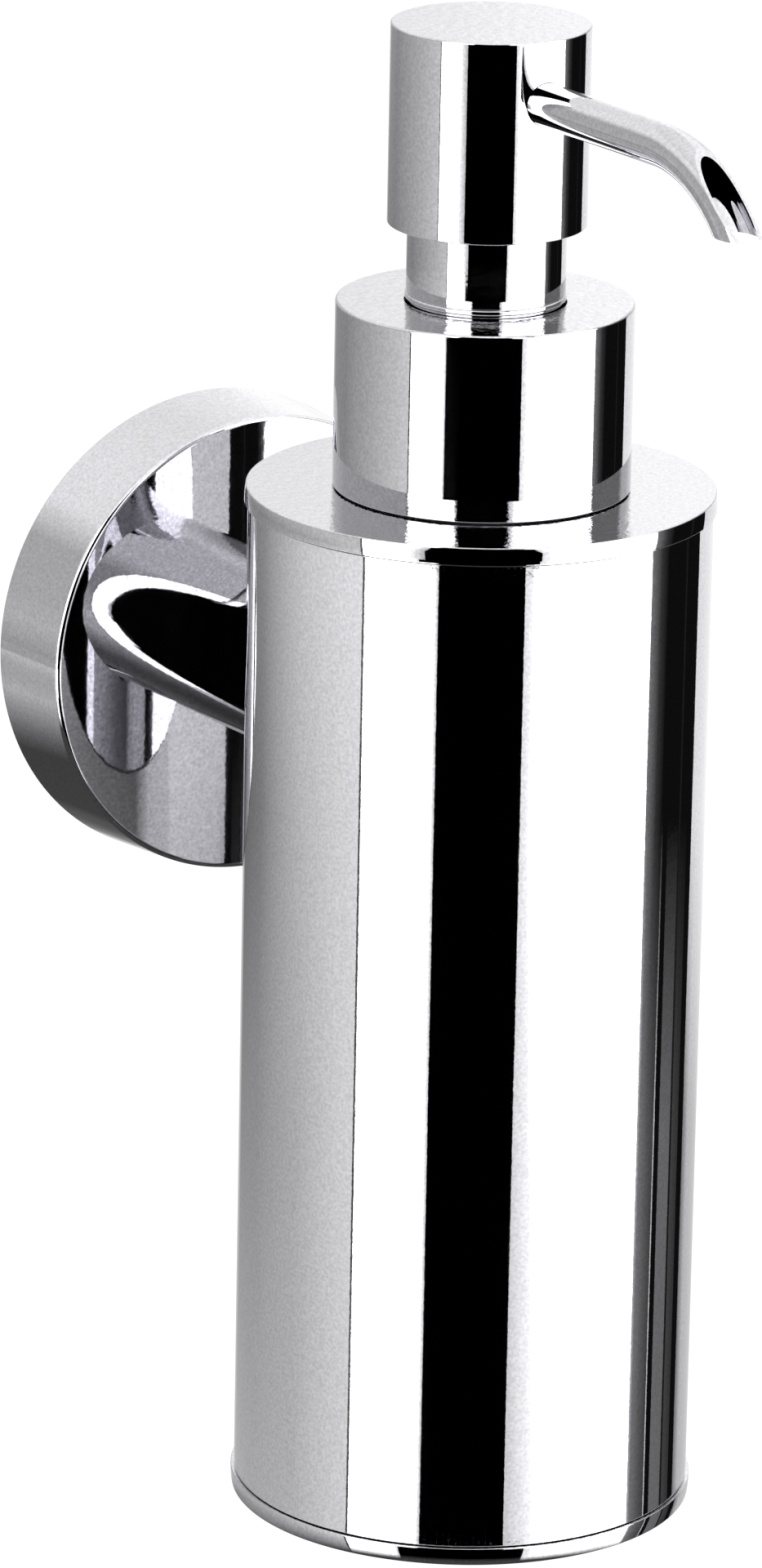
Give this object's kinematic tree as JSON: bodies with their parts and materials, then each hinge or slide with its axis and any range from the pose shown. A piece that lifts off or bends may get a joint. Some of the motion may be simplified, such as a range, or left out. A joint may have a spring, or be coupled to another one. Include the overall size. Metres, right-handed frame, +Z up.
{
  "type": "wall mounted soap dispenser",
  "caption": "Chrome wall mounted soap dispenser: round container on a short arm and rosette, with a screw closure, press head and bent spout.",
  "frame": {"origin": "centre of the rosette's back face on the wall, on the arm's axis", "axes": "+Z up along the container, +Y into the wall, so the dispenser stands out towards -Y"},
  "size_m": [0.059, 0.1127, 0.1805],
  "materials": {
    "chrome": "polished",
    "steel": "satin",
    "white_plastic": "moulded",
    "bottle_plastic": "milky blow-moulded",
    "tube_plastic": "extruded, milky",
    "rubber": "matte"
  },
  "bodies": {
    "holder": {"wall_plate": "steel", "rosette": "chrome", "rosette_grub_screw": "steel", "arm": "chrome", "arm_bolt": "steel", "arm_washer": "steel", "tube_body": "chrome", "saddle_washer": "steel", "saddle_screw": "steel", "top_cap": "chrome", "bottom_cap": "chrome", "bottom_cap_o_ring": "rubber", "inner_bottle": "bottle_plastic"},
    "pump": {"pump_housing": "white_plastic", "neck_gasket": "rubber", "stem_guide": "white_plastic", "guide_collar": "chrome", "valve_cage": "white_plastic", "dip_tube": "tube_plastic", "return_spring": "steel"},
    "closure": {"neck_cap": "chrome", "closure_ring": "white_plastic"},
    "plunger": {"piston": "white_plastic", "piston_seal": "rubber"},
    "head": {"head_shell": "chrome", "head_core": "white_plastic", "spout": "chrome", "spout_seal": "rubber", "pump_stem": "white_plastic"},
    "inlet_valve": {"inlet_ball": "steel"},
    "outlet_valve": {"outlet_ball": "steel"}
  },
  "joints": [
    {"name": "pump_lift", "type": "slide", "parent": "holder", "child": "pump", "axis": [0, 0, 1], "range_m": [0, 0.14]},
    {"name": "closure_turn", "type": "hinge", "parent": "pump", "child": "closure", "pos_m": [0, -0.0605, 0.043], "axis": [0, 0, 1], "range_deg": [0, 540]},
    {"name": "head_press", "type": "slide", "parent": "pump", "child": "plunger", "axis": [0, 0, 1], "range_m": [-0.0085, 0], "stiffness_N_per_m": 450, "springref_m": 0.01, "deforming": ["return_spring"]},
    {"name": "head_swivel", "type": "hinge", "parent": "plunger", "child": "head", "pos_m": [0, -0.0605, 0.0752], "axis": [0, 0, 1], "continuous": true},
    {"name": "inlet_lift", "type": "slide", "parent": "pump", "child": "inlet_valve", "axis": [0, 0, 1], "range_m": [0, 0.0012]},
    {"name": "outlet_lift", "type": "slide", "parent": "head", "child": "outlet_valve", "axis": [0, 0, 1], "range_m": [0, 0.0012]}
  ]
}
